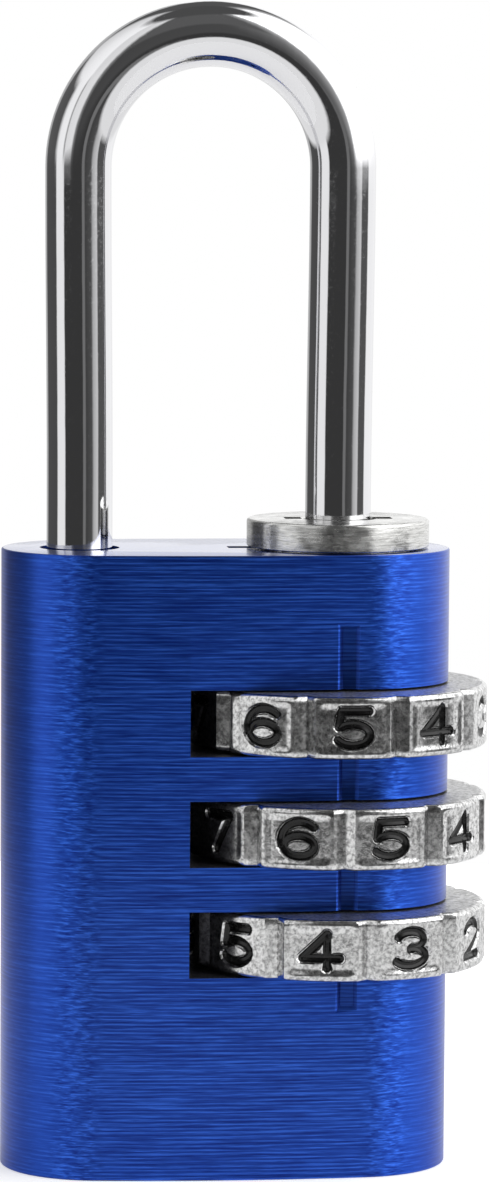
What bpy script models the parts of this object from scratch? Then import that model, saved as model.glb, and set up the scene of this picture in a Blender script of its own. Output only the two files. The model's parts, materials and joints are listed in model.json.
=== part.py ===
"""Combination padlock with three number wheels, in the 30 mm size.

The block is an extruded bar with round ends. The shackle's long leg, the heel, runs down through a flanged
collar into a bore. On the way it passes three number dials, each keyed to a code sleeve. Lugs on the heel pass
a sleeve's inner flange only where its two slots face them. A spring under the heel lifts the shackle, and a
second spring holds the sleeves up in mesh with the dials. Sizes are in metres, +Z is up, and the origin is the
middle of the block's base. Gaps between pieces that touch on the real object are GAP or wider.
"""

import math

import bmesh
import bpy
from mathutils import Matrix, Vector

MM = 0.001
GAP = 0.15 * MM
OVERCUT = 1.0 * MM

# Block
BODY_WIDTH = 30.0 * MM
BODY_DEPTH = 14.0 * MM
BODY_HEIGHT = 41.5 * MM
BODY_END_RADIUS = 6.6 * MM
BODY_EDGE = 0.3 * MM
AXIS_X = 7.5 * MM
BORE_RADIUS = 5.3 * MM
BORE_FLOOR = 4.0 * MM
GROOVE_WIDTH = 1.3 * MM
GROOVE_FLOOR_WIDTH = 0.7 * MM
GROOVE_DEPTH = 0.3 * MM
GROOVE_BOTTOM = 11.2 * MM
GROOVE_TOP = 36.5 * MM

# Dials
DIAL_COUNT = 3
DIVISIONS = 10
DIAL_PITCH = 7.35 * MM
TOP_DIAL_Z = 30.45 * MM
DIAL_RADIUS = 10.1 * MM
DIAL_HEIGHT = 4.1 * MM
DIAL_CHAMFER = 0.3 * MM
DIAL_VALLEY_RADIUS = 9.5 * MM
DIAL_TURN_DEG = (0.0, 15.0, -11.5)
SLOT_HEIGHT = 4.4 * MM
SLOT_LEFT_X = -2.9 * MM

# Splines between the dials and their code sleeves
SPLINE_LAND_RADIUS = 4.75 * MM
SPLINE_NOTCH_RADIUS = 5.25 * MM
SPLINE_BOTTOM = 0.1 * MM
TOOTH_TIP_RADIUS = 5.05 * MM
TOOTH_ROOT_RADIUS = 4.35 * MM
TOOTH_BOTTOM = 0.3 * MM
TOOTH_HEIGHT = 1.0 * MM
NOTCH_SHARE = 0.52
TOOTH_SHARE = 0.38

# Code sleeves, measured from their dial's middle height
SLEEVE_RADIUS = 4.5 * MM
SLEEVE_CAVITY_RADIUS = 3.8 * MM
SLEEVE_BOTTOM = -3.3 * MM
SLEEVE_TOP = 3.7 * MM
FLANGE_BOTTOM = 1.9 * MM
FLANGE_BORE_RADIUS = 2.45 * MM
LUG_SLOT_WIDTH = 1.9 * MM
LUG_SLOT_REACH = 3.6 * MM

# Shackle
ROD_RADIUS = 2.2 * MM
TOE_X = -9.8 * MM
TOE_BOTTOM = 36.0 * MM
HEEL_BOTTOM = 7.7 * MM
SHACKLE_TOP = 77.8 * MM
LEG_LEAN = 0.16 * MM
LEAN_START = 45.0 * MM
LUG_REACH = 3.4 * MM
LUG_WIDTH = 1.4 * MM
LUG_BOTTOM = -1.4 * MM
LUG_HEIGHT = 1.8 * MM
TOE_HOLE_RADIUS = 2.65 * MM
TOE_HOLE_BOTTOM = 35.0 * MM

# Retaining ring on the heel's end
RING_BOTTOM = 8.5 * MM
RING_HEIGHT = 0.7 * MM
RING_RADIUS = 3.4 * MM
RING_GROOVE_RADIUS = 1.75 * MM

# Collar
COLLAR_RADIUS = 6.1 * MM
COLLAR_FLANGE = 1.85 * MM
COLLAR_SEAT = BODY_HEIGHT + 0.1 * MM
COLLAR_SKIRT_RADIUS = 5.15 * MM
COLLAR_SKIRT_BOTTOM = 38.2 * MM
COLLAR_BORE_RADIUS = 2.45 * MM
KEYWAY_WIDTH = 1.6 * MM
KEYWAY_REACH = 3.6 * MM
TAB_WIDTH = 1.0 * MM
TAB_END_X = 0.9 * MM
TAB_HEIGHT = 1.6 * MM
TAB_SEAT_END_X = 0.1 * MM
TAB_SEAT_WIDTH = 1.4 * MM
TAB_SEAT_DEPTH = 2.2 * MM
PIN_Z = 39.4 * MM
PIN_RADIUS = 0.55 * MM
PIN_WALL = 0.22 * MM
PIN_HOLE_RADIUS = 0.7 * MM
PIN_INNER_Y = 4.2 * MM
PIN_OUTER_Y = 6.75 * MM

# Spacer, washer and springs
SPACER_RADIUS = 5.1 * MM
WASHER_RADIUS = 4.9 * MM
WASHER_BORE_RADIUS = 3.75 * MM
WASHER_HEIGHT = 0.6 * MM
RESET_COIL_RADIUS = 4.4 * MM
RESET_WIRE_RADIUS = 0.3 * MM
RESET_TURNS = 5
LIFT_COIL_RADIUS = 2.85 * MM
LIFT_WIRE_RADIUS = 0.22 * MM
LIFT_TURNS = 5
BALL_RADIUS = 1.15 * MM
BALL_HOLE_RADIUS = 1.3 * MM
BALL_HOLE_END_X = -8.6 * MM
DETENT_TRAVEL = 0.25 * MM
DETENT_COIL_RADIUS = 0.85 * MM
DETENT_WIRE_RADIUS = 0.16 * MM
DETENT_TURNS = 4
COIL_POINTS_PER_TURN = 10

ROUND_STEPS = 48
BLUE_ANODISE = ((0.012, 0.036, 0.42, 1.0), 0.35, 1.0)
CHROME = ((0.78, 0.78, 0.79, 1.0), 0.10, 1.0)
CHROMED_ZINC = ((0.62, 0.62, 0.63, 1.0), 0.22, 1.0)
BRUSHED_STEEL = ((0.66, 0.65, 0.63, 1.0), 0.32, 1.0)
SPRING_STEEL = ((0.45, 0.45, 0.46, 1.0), 0.35, 1.0)
BRASS = ((0.72, 0.52, 0.22, 1.0), 0.35, 1.0)
BALL_STEEL = ((0.55, 0.55, 0.57, 1.0), 0.15, 1.0)

for leftover in list(bpy.data.objects):
    bpy.data.objects.remove(leftover, do_unlink=True)

parts = bpy.data.collections.new("padlock")
cutters = bpy.data.collections.new("padlock_cutters")
bpy.context.scene.collection.children.link(parts)
bpy.context.scene.collection.children.link(cutters)


# ---------------------------------------------------------------- tools

def finish(name, finish_values):
    """A Principled material with one colour, roughness and metallic value."""
    colour, roughness, metallic = finish_values
    material = bpy.data.materials.new(name + "_finish")
    material.use_nodes = True
    shader = material.node_tree.nodes["Principled BSDF"]
    shader.inputs["Base Color"].default_value = colour
    shader.inputs["Roughness"].default_value = roughness
    shader.inputs["Metallic"].default_value = metallic
    material.diffuse_color = colour
    return material


def as_part(obj, finish_values):
    """Give an object its own material and make it one of the padlock's parts."""
    parts.objects.link(obj)
    obj.data.materials.clear()
    obj.data.materials.append(finish(obj.name, finish_values))
    obj.data.shade_smooth()
    obj.data.set_sharp_from_angle(angle=math.radians(30))
    return obj


def as_cutter(obj):
    cutters.objects.link(obj)
    obj.hide_render = True
    obj.display_type = "WIRE"
    return obj


def cut(target, cutter, operation="DIFFERENCE"):
    """Cut a cutter out of a part, or join it on."""
    as_cutter(cutter)
    step = target.modifiers.new(operation.lower() + "_" + cutter.name, "BOOLEAN")
    step.operation = operation
    step.solver = "EXACT"
    step.object = cutter
    return target


def mesh_object(name, builder):
    mesh = bpy.data.meshes.new(name)
    bm = bmesh.new()
    builder(bm)
    bm.to_mesh(mesh)
    bm.free()
    return bpy.data.objects.new(name, mesh)


def cylinder(name, radius, start, end, steps=ROUND_STEPS):
    """A closed cylinder between two points, turned half a step so that no corner lies on a mid plane."""
    start, end = Vector(start), Vector(end)
    along = end - start

    def builder(bm):
        turn = Vector((0, 0, 1)).rotation_difference(along).to_matrix().to_4x4()
        place = Matrix.Translation((start + end) / 2) @ turn @ Matrix.Rotation(math.pi / steps, 4, "Z")
        bmesh.ops.create_cone(bm, cap_ends=True, segments=steps, radius1=radius, radius2=radius,
                              depth=along.length, matrix=place)

    return mesh_object(name, builder)


def box(name, low, high):
    """A closed box between two corners."""
    low, high = Vector(low), Vector(high)

    def builder(bm):
        size = high - low
        bmesh.ops.create_cube(bm, size=1.0, matrix=Matrix.Translation((low + high) / 2)
                              @ Matrix.Diagonal((*size, 1.0)))

    return mesh_object(name, builder)


def turned(name, profile, steps=ROUND_STEPS):
    """A ring turned round Z from a closed profile of (radius, height), outer side first, top to bottom."""
    def builder(bm):
        corners = [bm.verts.new((radius, 0.0, height)) for radius, height in profile]
        for one, other in zip(corners, corners[1:] + corners[:1]):
            bm.edges.new((one, other))

    ring = mesh_object(name, builder)
    screw = ring.modifiers.new("turn", "SCREW")
    screw.angle = math.tau
    screw.steps = steps
    screw.render_steps = steps
    screw.use_merge_vertices = True
    screw.merge_threshold = 0.00001
    return ring


def mesh_from_curve(obj):
    """Make a curve object a closed mesh and remove the curve."""
    bpy.context.scene.collection.objects.link(obj)
    bpy.context.view_layer.update()
    evaluated = obj.evaluated_get(bpy.context.evaluated_depsgraph_get())
    mesh = bpy.data.meshes.new_from_object(evaluated)
    bm = bmesh.new()
    bm.from_mesh(mesh)
    bmesh.ops.remove_doubles(bm, verts=bm.verts, dist=0.000001)
    bm.to_mesh(mesh)
    bm.free()
    name = obj.name
    place = obj.matrix_world.copy()
    bpy.data.objects.remove(obj)
    made = bpy.data.objects.new(name, mesh)
    made.matrix_world = place
    return made


def plate(name, outline, low_z, high_z):
    """A flat plate with a closed outline of (x, y) points."""
    curve = bpy.data.curves.new(name, "CURVE")
    curve.dimensions = "2D"
    curve.fill_mode = "BOTH"
    curve.extrude = (high_z - low_z) / 2
    spline = curve.splines.new("POLY")
    spline.points.add(len(outline) - 1)
    for point, (x, y) in zip(spline.points, outline):
        point.co = (x, y, 0.0, 1.0)
    spline.use_cyclic_u = True
    flat = bpy.data.objects.new(name, curve)
    flat.location.z = (low_z + high_z) / 2
    return mesh_from_curve(flat)


def rod(name, route, radius, sides_step):
    """A round rod or wire along a list of points, closed at both ends."""
    curve = bpy.data.curves.new(name, "CURVE")
    curve.dimensions = "3D"
    curve.bevel_depth = radius
    curve.bevel_resolution = sides_step
    curve.use_fill_caps = True
    spline = curve.splines.new("POLY")
    spline.points.add(len(route) - 1)
    for point, place in zip(spline.points, route):
        point.co = (*place, 1.0)
    return mesh_from_curve(bpy.data.objects.new(name, curve))


def coil(name, axis_start, axis_end, coil_radius, wire_radius, turns):
    """A compression spring's wire, wound round the line between two points."""
    axis_start, axis_end = Vector(axis_start), Vector(axis_end)
    along = axis_end - axis_start
    turn = Vector((0, 0, 1)).rotation_difference(along)
    count = turns * COIL_POINTS_PER_TURN
    route = []
    for step in range(count + 1):
        angle = math.tau * turns * step / count
        ring = Vector((coil_radius * math.cos(angle), coil_radius * math.sin(angle), 0.0))
        route.append(axis_start + along * step / count + turn @ ring)
    return rod(name, route, wire_radius, 2)


def stadium(width, depth, end_radius, end_steps=10, side_steps=4):
    """The block's outline: two tight end arcs, joined by long, slightly bulged front and back arcs."""
    end_x = width / 2 - end_radius
    side_radius = (end_x ** 2 + depth ** 2 / 4 - end_radius ** 2) / (depth - 2 * end_radius)
    side_y = depth / 2 - side_radius
    meet = math.atan2(end_x, -side_y)
    quarter = []
    for step in range(end_steps):
        angle = (math.pi / 2 - meet) * step / end_steps
        quarter.append((end_x + end_radius * math.cos(angle), end_radius * math.sin(angle)))
    for step in range(side_steps):
        angle = meet * (1 - step / side_steps)
        quarter.append((side_radius * math.sin(angle), side_y + side_radius * math.cos(angle)))
    half = quarter + [(0.0, depth / 2)] + [(-x, y) for x, y in reversed(quarter[1:])]
    return half + [(-x, -y) for x, y in half]


def toothed(tip_radius, root_radius, share, turn_deg, steps=3):
    """A wheel outline with DIVISIONS teeth, each taking a share of its division at the tip."""
    outline = []
    division = math.tau / DIVISIONS
    for tooth in range(DIVISIONS):
        middle = math.radians(turn_deg) - math.pi / 2 + tooth * division
        for radius, centre, span in ((tip_radius, middle, share * division),
                                     (root_radius, middle + division / 2, (1 - share) * division * 0.94)):
            for step in range(steps + 1):
                angle = centre + span * (step / steps - 0.5)
                outline.append((radius * math.cos(angle), radius * math.sin(angle)))
    return outline


def dial_outline(turn_deg):
    """Ten number faces with a V valley between each two; the first face looks to the front."""
    outline = []
    division = 360.0 / DIVISIONS
    face_half = 13.0
    valley_half = 1.2
    for face in range(DIVISIONS):
        middle = turn_deg - 90.0 + face * division
        for degrees in (-face_half, -face_half / 3, face_half / 3, face_half):
            angle = math.radians(middle + degrees)
            outline.append((DIAL_RADIUS * math.cos(angle), DIAL_RADIUS * math.sin(angle)))
        for degrees in (division / 2 - valley_half, division / 2 + valley_half):
            angle = math.radians(middle + degrees)
            outline.append((DIAL_VALLEY_RADIUS * math.cos(angle), DIAL_VALLEY_RADIUS * math.sin(angle)))
    return outline


def moved_to_axis(obj):
    """Set a piece that was made round the world's Z axis onto the heel's axis."""
    obj.location.x = AXIS_X
    return obj


def dial_z(number):
    return TOP_DIAL_Z - DIAL_PITCH * number


# ---------------------------------------------------------------- block

def make_lock_body():
    body = plate("lock_body", stadium(BODY_WIDTH, BODY_DEPTH, BODY_END_RADIUS), 0.0, BODY_HEIGHT)
    as_part(body, BLUE_ANODISE)
    rim = body.modifiers.new("rim", "BEVEL")
    rim.width = BODY_EDGE
    rim.segments = 1
    rim.limit_method = "ANGLE"
    rim.angle_limit = math.radians(60)
    top = BODY_HEIGHT + OVERCUT
    cut(body, cylinder("bore_cutter", BORE_RADIUS, (AXIS_X, 0, BORE_FLOOR), (AXIS_X, 0, top)))
    cut(body, cylinder("toe_hole_cutter", TOE_HOLE_RADIUS, (TOE_X, 0, TOE_HOLE_BOTTOM), (TOE_X, 0, top), 32))
    cut(body, box("tab_seat_cutter", (TAB_SEAT_END_X, -TAB_SEAT_WIDTH / 2, BODY_HEIGHT - TAB_SEAT_DEPTH),
                  (AXIS_X, TAB_SEAT_WIDTH / 2, top)))
    cut(body, cylinder("pin_hole_cutter", PIN_HOLE_RADIUS, (AXIS_X, 4.0 * MM, PIN_Z),
                       (AXIS_X, BODY_DEPTH / 2 + OVERCUT, PIN_Z), 16))
    for number in range(DIAL_COUNT):
        middle = dial_z(number)
        cut(body, box(f"slot_cutter_{number + 1}", (SLOT_LEFT_X, -BODY_DEPTH, middle - SLOT_HEIGHT / 2),
                      (BODY_WIDTH, BODY_DEPTH, middle + SLOT_HEIGHT / 2)))
        cut(body, cylinder(f"ball_hole_cutter_{number + 1}", BALL_HOLE_RADIUS, (BALL_HOLE_END_X, 0, middle),
                           (SLOT_LEFT_X + OVERCUT, 0, middle), 20))
    cut(body, index_groove_cutter())
    return body


def index_groove_cutter():
    """The index line's groove: slanted walls and a flat floor, cut into the front."""
    half_top = GROOVE_WIDTH / 2
    half_floor = GROOVE_FLOOR_WIDTH / 2
    front = -BODY_DEPTH / 2
    run_out = 0.5 * MM
    flare = half_top + (half_top - half_floor) * run_out / GROOVE_DEPTH
    section = [(AXIS_X - flare, front - run_out), (AXIS_X + flare, front - run_out),
               (AXIS_X + half_floor, front + GROOVE_DEPTH), (AXIS_X - half_floor, front + GROOVE_DEPTH)]
    return plate("index_groove_cutter", section, GROOVE_BOTTOM, GROOVE_TOP)


# ---------------------------------------------------------------- shackle and collar

def shackle_route():
    """The rod's middle line: up the heel, round the arch and down to the toe."""
    heel_x = AXIS_X + LEG_LEAN
    toe_x = TOE_X - LEG_LEAN
    arch_radius = (heel_x - toe_x) / 2
    arch_z = SHACKLE_TOP - ROD_RADIUS - arch_radius
    middle_x = (heel_x + toe_x) / 2
    arch_steps = 22
    route = [(AXIS_X, 0.0, HEEL_BOTTOM), (AXIS_X, 0.0, LEAN_START)]
    for step in range(arch_steps + 1):
        angle = math.pi * step / arch_steps
        route.append((middle_x + arch_radius * math.cos(angle), 0.0, arch_z + arch_radius * math.sin(angle)))
    return route + [(TOE_X, 0.0, LEAN_START), (TOE_X, 0.0, TOE_BOTTOM)]


def make_shackle():
    shackle = as_part(rod("shackle", shackle_route(), ROD_RADIUS, 7), CHROME)
    for number in range(DIAL_COUNT):
        bottom = dial_z(number) + LUG_BOTTOM
        lug = box(f"lug_{number + 1}", (AXIS_X - LUG_WIDTH / 2, -LUG_REACH, bottom),
                  (AXIS_X + LUG_WIDTH / 2, LUG_REACH, bottom + LUG_HEIGHT))
        cut(shackle, lug, "UNION")
    low = RING_BOTTOM - GAP
    high = RING_BOTTOM + RING_HEIGHT + GAP
    outer = ROD_RADIUS + OVERCUT
    groove = moved_to_axis(turned("ring_groove_cutter", [(outer, high), (outer, low), (RING_GROOVE_RADIUS, low),
                                                         (RING_GROOVE_RADIUS, high)], 32))
    return cut(shackle, groove)


def make_end_ring():
    inner = RING_GROOVE_RADIUS + GAP
    top = RING_BOTTOM + RING_HEIGHT
    profile = [(RING_RADIUS, top), (RING_RADIUS, RING_BOTTOM), (inner, RING_BOTTOM), (inner, top)]
    return as_part(moved_to_axis(turned("end_ring", profile, 32)), SPRING_STEEL)


def make_collar():
    edge = 0.25 * MM
    top = COLLAR_SEAT + COLLAR_FLANGE
    profile = [(COLLAR_RADIUS - edge, top), (COLLAR_RADIUS, top - edge), (COLLAR_RADIUS, COLLAR_SEAT),
               (COLLAR_SKIRT_RADIUS, COLLAR_SEAT), (COLLAR_SKIRT_RADIUS, COLLAR_SKIRT_BOTTOM),
               (COLLAR_BORE_RADIUS, COLLAR_SKIRT_BOTTOM), (COLLAR_BORE_RADIUS, top)]
    collar = as_part(moved_to_axis(turned("collar", profile)), BRUSHED_STEEL)
    cut(collar, box("keyway_cutter", (AXIS_X - KEYWAY_REACH, -KEYWAY_WIDTH / 2, COLLAR_SKIRT_BOTTOM - OVERCUT),
                    (AXIS_X + KEYWAY_REACH, KEYWAY_WIDTH / 2, top + OVERCUT)))
    tab_low = BODY_HEIGHT - TAB_SEAT_DEPTH + 2 * GAP
    tab = box("collar_tab", (TAB_END_X, -TAB_WIDTH / 2, tab_low),
              (AXIS_X - COLLAR_SKIRT_RADIUS + 0.5 * MM, TAB_WIDTH / 2, tab_low + TAB_HEIGHT))
    cut(collar, tab, "UNION")
    cut(collar, cylinder("collar_pin_cutter", PIN_HOLE_RADIUS, (AXIS_X, PIN_INNER_Y - 2 * GAP, PIN_Z),
                         (AXIS_X, COLLAR_RADIUS + OVERCUT, PIN_Z), 16))
    return collar


def make_collar_pin():
    """A roll pin: a short tube with a split along it, pushed in from the back of the block."""
    length = PIN_OUTER_Y - PIN_INNER_Y
    inner = PIN_RADIUS - PIN_WALL
    profile = [(PIN_RADIUS, length), (PIN_RADIUS, 0.0), (inner, 0.0), (inner, length)]
    pin = as_part(turned("collar_pin", profile, 20), SPRING_STEEL)
    pin.rotation_euler.x = -math.pi / 2
    pin.location = (AXIS_X, PIN_INNER_Y, PIN_Z)
    split = box("pin_split_cutter", (AXIS_X - 0.08 * MM, PIN_INNER_Y - OVERCUT, PIN_Z),
                (AXIS_X + 0.08 * MM, PIN_OUTER_Y + OVERCUT, PIN_Z + 2 * PIN_RADIUS))
    return cut(pin, split)


# ---------------------------------------------------------------- dials and code sleeves

def make_dial(number):
    middle = dial_z(number)
    turn_deg = DIAL_TURN_DEG[number]
    half = DIAL_HEIGHT / 2
    dial = plate(f"dial_{number + 1}", dial_outline(turn_deg), -half, half)
    as_part(dial, CHROMED_ZINC)
    dial.location = (AXIS_X, 0.0, middle)
    rim = dial.modifiers.new("rim", "BEVEL")
    rim.width = DIAL_CHAMFER
    rim.segments = 1
    rim.limit_method = "ANGLE"
    rim.angle_limit = math.radians(75)
    cut(dial, cylinder(f"dial_bore_cutter_{number + 1}", BORE_RADIUS, (AXIS_X, 0, middle - half - OVERCUT),
                       (AXIS_X, 0, middle + SPLINE_BOTTOM)))
    notches = plate(f"dial_spline_cutter_{number + 1}",
                    toothed(SPLINE_NOTCH_RADIUS, SPLINE_LAND_RADIUS, NOTCH_SHARE, turn_deg),
                    middle - 0.5 * MM, middle + half + OVERCUT)
    return cut(dial, moved_to_axis(notches))


def make_code_sleeve(number):
    middle = dial_z(number)
    bottom = middle + SLEEVE_BOTTOM
    top = middle + SLEEVE_TOP
    flange = middle + FLANGE_BOTTOM
    profile = [(SLEEVE_RADIUS, top), (SLEEVE_RADIUS, bottom), (SLEEVE_CAVITY_RADIUS, bottom),
               (SLEEVE_CAVITY_RADIUS, flange), (FLANGE_BORE_RADIUS, flange), (FLANGE_BORE_RADIUS, top)]
    sleeve = as_part(moved_to_axis(turned(f"code_sleeve_{number + 1}", profile, 36)), BRASS)
    tooth_low = middle + TOOTH_BOTTOM
    teeth = plate(f"teeth_{number + 1}",
                  toothed(TOOTH_TIP_RADIUS, TOOTH_ROOT_RADIUS, TOOTH_SHARE, DIAL_TURN_DEG[number]),
                  tooth_low, tooth_low + TOOTH_HEIGHT)
    cut(sleeve, moved_to_axis(teeth), "UNION")
    cut(sleeve, cylinder(f"cavity_cutter_{number + 1}", SLEEVE_CAVITY_RADIUS + 0.02 * MM,
                         (AXIS_X, 0, bottom - OVERCUT), (AXIS_X, 0, flange - 0.02 * MM), 36))
    return cut(sleeve, box(f"lug_slot_cutter_{number + 1}",
                           (AXIS_X - LUG_SLOT_WIDTH / 2, -LUG_SLOT_REACH, flange - 0.5 * MM),
                           (AXIS_X + LUG_SLOT_WIDTH / 2, LUG_SLOT_REACH, top + OVERCUT)))


# ---------------------------------------------------------------- spacer, washer, springs and balls

def make_spacer_tube():
    low = dial_z(0) + SLEEVE_TOP + GAP
    high = COLLAR_SKIRT_BOTTOM - GAP
    profile = [(SPACER_RADIUS, high), (SPACER_RADIUS, low), (SLEEVE_CAVITY_RADIUS, low),
               (SLEEVE_CAVITY_RADIUS, high)]
    return as_part(moved_to_axis(turned("spacer_tube", profile, 36)), BRASS)


def washer_top():
    return dial_z(DIAL_COUNT - 1) + SLEEVE_BOTTOM - GAP


def make_reset_washer():
    high = washer_top()
    low = high - WASHER_HEIGHT
    profile = [(WASHER_RADIUS, high), (WASHER_RADIUS, low), (WASHER_BORE_RADIUS, low), (WASHER_BORE_RADIUS, high)]
    return as_part(moved_to_axis(turned("reset_washer", profile, 36)), SPRING_STEEL)


def make_springs():
    clearance = 2 * GAP
    low = BORE_FLOOR + clearance + RESET_WIRE_RADIUS
    high = washer_top() - WASHER_HEIGHT - clearance - RESET_WIRE_RADIUS
    as_part(coil("reset_spring", (AXIS_X, 0, low), (AXIS_X, 0, high), RESET_COIL_RADIUS, RESET_WIRE_RADIUS,
                 RESET_TURNS), SPRING_STEEL)
    low = BORE_FLOOR + clearance + LIFT_WIRE_RADIUS
    high = RING_BOTTOM - GAP - clearance - LIFT_WIRE_RADIUS
    as_part(coil("lift_spring", (AXIS_X, 0, low), (AXIS_X, 0, high), LIFT_COIL_RADIUS, LIFT_WIRE_RADIUS,
                 LIFT_TURNS), SPRING_STEEL)


def make_detent(number):
    """A ball that clicks into the dial's valleys, with its spring behind it in a blind hole."""
    middle = dial_z(number)
    ball_x = AXIS_X - DIAL_RADIUS - 0.1 * MM - BALL_RADIUS

    def builder(bm):
        bmesh.ops.create_uvsphere(bm, u_segments=20, v_segments=12, radius=BALL_RADIUS)

    ball = as_part(mesh_object(f"detent_ball_{number + 1}", builder), BALL_STEEL)
    ball.location = (ball_x, 0.0, middle)
    start = BALL_HOLE_END_X + 2 * GAP + DETENT_WIRE_RADIUS
    end = ball_x - BALL_RADIUS - DETENT_TRAVEL - GAP - DETENT_WIRE_RADIUS
    as_part(coil(f"detent_spring_{number + 1}", (start, 0, middle), (end, 0, middle), DETENT_COIL_RADIUS,
                 DETENT_WIRE_RADIUS, DETENT_TURNS), SPRING_STEEL)


make_lock_body()
make_shackle()
make_end_ring()
make_collar()
make_collar_pin()
make_spacer_tube()
for dial_number in range(DIAL_COUNT):
    make_dial(dial_number)
    make_code_sleeve(dial_number)
    make_detent(dial_number)
make_reset_washer()
make_springs()
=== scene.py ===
# %% [markdown]
# # A three-dial combination padlock, dressed for the studio
#
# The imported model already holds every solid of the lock: block, shackle, collar, dials and the works inside.
# This lesson makes the pieces that show. Each one stands in for its plain solid, rides on the same body, and
# gets a surface finish built from nodes. All sizes are in metres, and MM keeps them readable.

# %% Load the frame
import json
import math

import bmesh
import bpy
from mathutils import Matrix, Vector


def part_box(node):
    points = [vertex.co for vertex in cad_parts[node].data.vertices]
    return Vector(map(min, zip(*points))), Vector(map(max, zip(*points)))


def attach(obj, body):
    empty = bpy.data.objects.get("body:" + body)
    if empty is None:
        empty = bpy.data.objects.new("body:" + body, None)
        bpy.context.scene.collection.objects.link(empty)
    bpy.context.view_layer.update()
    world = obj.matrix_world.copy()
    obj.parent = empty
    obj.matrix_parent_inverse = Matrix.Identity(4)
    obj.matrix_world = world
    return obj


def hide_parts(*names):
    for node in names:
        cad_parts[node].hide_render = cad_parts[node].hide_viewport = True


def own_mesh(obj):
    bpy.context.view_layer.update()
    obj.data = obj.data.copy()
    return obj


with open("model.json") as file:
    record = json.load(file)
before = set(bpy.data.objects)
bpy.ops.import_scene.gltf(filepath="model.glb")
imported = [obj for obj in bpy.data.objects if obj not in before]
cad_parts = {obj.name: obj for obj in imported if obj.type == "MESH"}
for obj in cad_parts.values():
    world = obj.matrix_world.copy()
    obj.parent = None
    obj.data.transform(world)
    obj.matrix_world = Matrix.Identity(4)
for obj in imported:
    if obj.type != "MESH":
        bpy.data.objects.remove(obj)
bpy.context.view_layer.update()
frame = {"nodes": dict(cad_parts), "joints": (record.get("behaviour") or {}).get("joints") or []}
MM = 0.001

# %% [markdown]
# ## Where things are
#
# Every place is read from the frame, so a piece can't drift from the solid it stands for. The heel leg of the
# shackle, the collar and the dials share one upright axis, and the block is centred on the origin.

# %% Read the main sizes
block_low, block_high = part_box("lock_body")
collar_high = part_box("collar")[1]
shackle_low, shackle_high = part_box("shackle")
DIAL_NODES = ["dial_1", "dial_2", "dial_3"]
dial_boxes = [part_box(node) for node in DIAL_NODES]
AXIS_X = frame["joints"][1]["pos_m"][0]
BLOCK_HEIGHT = block_high.z
BLOCK_WIDTH = block_high.x - block_low.x
BLOCK_DEPTH = block_high.y - block_low.y
DIAL_MIDDLES = [(low.z + high.z) / 2 for low, high in dial_boxes]
DIAL_HEIGHT = dial_boxes[0][1].z - dial_boxes[0][0].z
DIAL_RADIUS = 10.09 * MM
ROD_RADIUS = 2.2 * MM
WELD = 0.0005 * MM      # vertices closer than this are made one
NEAR = 0.001 * MM       # heights closer than this count as the same
print("block", [round(v / MM, 2) for v in (BLOCK_WIDTH, BLOCK_DEPTH, BLOCK_HEIGHT)], "mm, heel axis at x =",
      round(AXIS_X / MM, 2), "mm")

# %% [markdown]
# ## The camera
#
# A long lens from the front, a little to the left and slightly above, keeps the upright edges of the block
# nearly parallel, as in a catalogue picture of a small object. A tiny roll is part of the pose.

# %% Place the camera
CAMERA_AZIMUTH = math.radians(-5.45)
CAMERA_ELEVATION = math.radians(5.35)
CAMERA_ROLL = math.radians(0.38)
CAMERA_DISTANCE = 350 * MM
CAMERA_LENS = 159.45
CAMERA_TARGET = Vector((1.29 * MM, 0.0, 38.55 * MM))


def camera_matrix(azimuth, elevation, roll, distance, target):
    """A camera that looks at a target from a compass direction, with the world's up nearly up."""
    back = Vector((math.sin(azimuth) * math.cos(elevation), -math.cos(azimuth) * math.cos(elevation),
                   math.sin(elevation)))
    right = Vector((0, 0, 1)).cross(back).normalized()
    up = back.cross(right)
    rolled_right = math.cos(roll) * right + math.sin(roll) * up
    rolled_up = -math.sin(roll) * right + math.cos(roll) * up
    turn = Matrix((rolled_right, rolled_up, back)).transposed().to_4x4()
    return Matrix.Translation(target + back * distance) @ turn


camera_data = bpy.data.cameras.new("studio_camera")
camera_data.lens = CAMERA_LENS
camera_data.sensor_width = 36.0
camera_data.clip_start = 0.01
camera_data.clip_end = 50.0
camera = bpy.data.objects.new("studio_camera", camera_data)
bpy.context.scene.collection.objects.link(camera)
camera.matrix_world = camera_matrix(CAMERA_AZIMUTH, CAMERA_ELEVATION, CAMERA_ROLL, CAMERA_DISTANCE,
                                    CAMERA_TARGET)
bpy.context.scene.camera = camera
print("camera", [round(v, 3) for v in camera.matrix_world.translation])

# %% [markdown]
# ## Tools for materials
#
# `linear` turns a hex colour, as a paint chart gives it, into the linear numbers that shaders work with.
# `add` puts one node in a tree: it sets the node's properties, its colour ramp's stops and its sockets, and
# links what is handed to it. Each material is then a list of such lines, read from the pattern to the shader.

# %% Helpers for colours and nodes


def linear(hex_colour):
    """An sRGB hex colour such as "1A3FBF" as linear red, green, blue and alpha."""
    channels = [int(hex_colour[at:at + 2], 16) / 255 for at in (0, 2, 4)]
    curved = [c / 12.92 if c <= 0.04045 else ((c + 0.055) / 1.055) ** 2.4 for c in channels]
    return (*curved, 1.0)


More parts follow.
